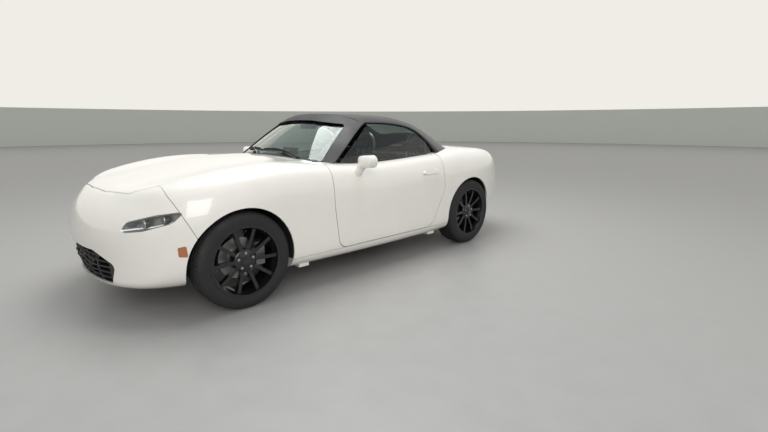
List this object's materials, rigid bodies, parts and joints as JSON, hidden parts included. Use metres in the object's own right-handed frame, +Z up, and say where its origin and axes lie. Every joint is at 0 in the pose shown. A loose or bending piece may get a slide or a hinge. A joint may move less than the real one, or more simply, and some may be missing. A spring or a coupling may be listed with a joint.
{
  "type": "two-seat roadster convertible",
  "caption": "Two-seat open sports car with its fabric roof up: hinged bonnet, boot lid and doors, steered front wheels and freely turning wheels.",
  "frame": {"origin": "on the ground, on the centreline, midway between nose and tail", "axes": "+Z up, +Y from nose to tail, +X towards the car's left side"},
  "size_m": [1.9136, 3.9149, 1.2337],
  "materials": {
    "body_paint": "gloss pale warm white",
    "inner_paint": "satin grey underbody coat",
    "black_steel": "satin black",
    "clear_glass": "slightly green tint",
    "lamp_glass": "clear",
    "lamp_unit": "bright reflector",
    "tail_lens": "deep red, glossy",
    "amber_lens": "amber, glossy",
    "top_cloth": "black woven cloth",
    "seat_trim": "black, soft",
    "black_plastic": "grained black",
    "wheel_alloy": "dark satin",
    "tyre_rubber": "matt",
    "cast_metal": "rough cast",
    "exhaust_steel": "dull"
  },
  "bodies": {
    "body": {"front_bumper": "body_paint", "rear_bumper": "body_paint", "front_wings": "body_paint", "rear_quarters": "body_paint", "sills": "body_paint", "cowl_panel": "black_plastic", "headlamp_lenses": "lamp_glass", "headlamp_units": "lamp_unit", "tail_lamps": "tail_lens", "side_markers": "amber_lens", "windscreen": "clear_glass", "windscreen_frame": "black_steel", "soft_top": "top_cloth", "rear_window": "clear_glass", "wheelhouses": "black_plastic", "floor_pan": "inner_paint", "firewall": "inner_paint", "rear_bulkhead": "inner_paint", "boot_tub": "inner_paint", "front_structure": "inner_paint", "tow_socket": "cast_metal", "grille": "black_plastic", "dashboard": "black_plastic", "seats": "seat_trim", "roll_hoops": "black_steel", "front_suspension": "black_steel", "rear_suspension": "black_steel", "engine_block": "cast_metal", "drivetrain": "cast_metal", "exhaust": "exhaust_steel"},
    "bonnet": {"bonnet": "body_paint"},
    "boot_lid": {"boot_lid": "body_paint"},
    "door_left": {"door_left": "body_paint", "door_glass_left": "clear_glass", "mirror_left": "body_paint"},
    "door_right": {"door_right": "body_paint", "door_glass_right": "clear_glass", "mirror_right": "body_paint"},
    "steering_wheel": {"steering_wheel": "seat_trim"},
    "upright_left": {"knuckle_left": "cast_metal"},
    "upright_right": {"knuckle_right": "cast_metal"},
    "road_wheel_front_left": {"tyre_front_left": "tyre_rubber", "wheel_front_left": "wheel_alloy"},
    "road_wheel_front_right": {"tyre_front_right": "tyre_rubber", "wheel_front_right": "wheel_alloy"},
    "road_wheel_rear_left": {"tyre_rear_left": "tyre_rubber", "wheel_rear_left": "wheel_alloy"},
    "road_wheel_rear_right": {"tyre_rear_right": "tyre_rubber", "wheel_rear_right": "wheel_alloy"}
  },
  "joints": [
    {"name": "bonnet_hinge", "type": "hinge", "parent": "body", "child": "bonnet", "pos_m": [0, -0.5475, 0.863], "axis": [-1, 0, 0], "range_deg": [0, 55]},
    {"name": "boot_hinge", "type": "hinge", "parent": "body", "child": "boot_lid", "pos_m": [0, 1.3325, 0.911], "axis": [1, 0, 0], "range_deg": [0, 75]},
    {"name": "door_left_hinge", "type": "hinge", "parent": "body", "child": "door_left", "pos_m": [0.838, -0.4795, 0.5], "axis": [0, 0, -1], "range_deg": [0, 65]},
    {"name": "door_right_hinge", "type": "hinge", "parent": "body", "child": "door_right", "pos_m": [-0.838, -0.4795, 0.5], "axis": [0, 0, 1], "range_deg": [0, 65]},
    {"name": "steer_left", "type": "hinge", "parent": "body", "child": "upright_left", "pos_m": [0.672, -1.2225, 0.308], "axis": [0, 0, 1], "range_deg": [-35, 35]},
    {"name": "steer_right", "type": "hinge", "parent": "body", "child": "upright_right", "pos_m": [-0.672, -1.2225, 0.308], "axis": [0, 0, 1], "range_deg": [-35, 35]},
    {"name": "steering_wheel_turn", "type": "hinge", "parent": "body", "child": "steering_wheel", "pos_m": [0.37, -0.1575, 0.735], "axis": [0, 0.9135, 0.4067], "range_deg": [-455, 455]},
    {"name": "front_left_spin", "type": "hinge", "parent": "upright_left", "child": "road_wheel_front_left", "pos_m": [0.7475, -1.2225, 0.308], "axis": [1, 0, 0], "continuous": true},
    {"name": "front_right_spin", "type": "hinge", "parent": "upright_right", "child": "road_wheel_front_right", "pos_m": [-0.7475, -1.2225, 0.308], "axis": [1, 0, 0], "continuous": true},
    {"name": "rear_left_spin", "type": "hinge", "parent": "body", "child": "road_wheel_rear_left", "pos_m": [0.7525, 1.0875, 0.308], "axis": [1, 0, 0], "continuous": true},
    {"name": "rear_right_spin", "type": "hinge", "parent": "body", "child": "road_wheel_rear_right", "pos_m": [-0.7525, 1.0875, 0.308], "axis": [1, 0, 0], "continuous": true}
  ],
  "couplings": [
    {"joint": "steer_right", "follows": "steer_left", "ratio": 1},
    {"joint": "steering_wheel_turn", "follows": "steer_left", "ratio": 13}
  ]
}
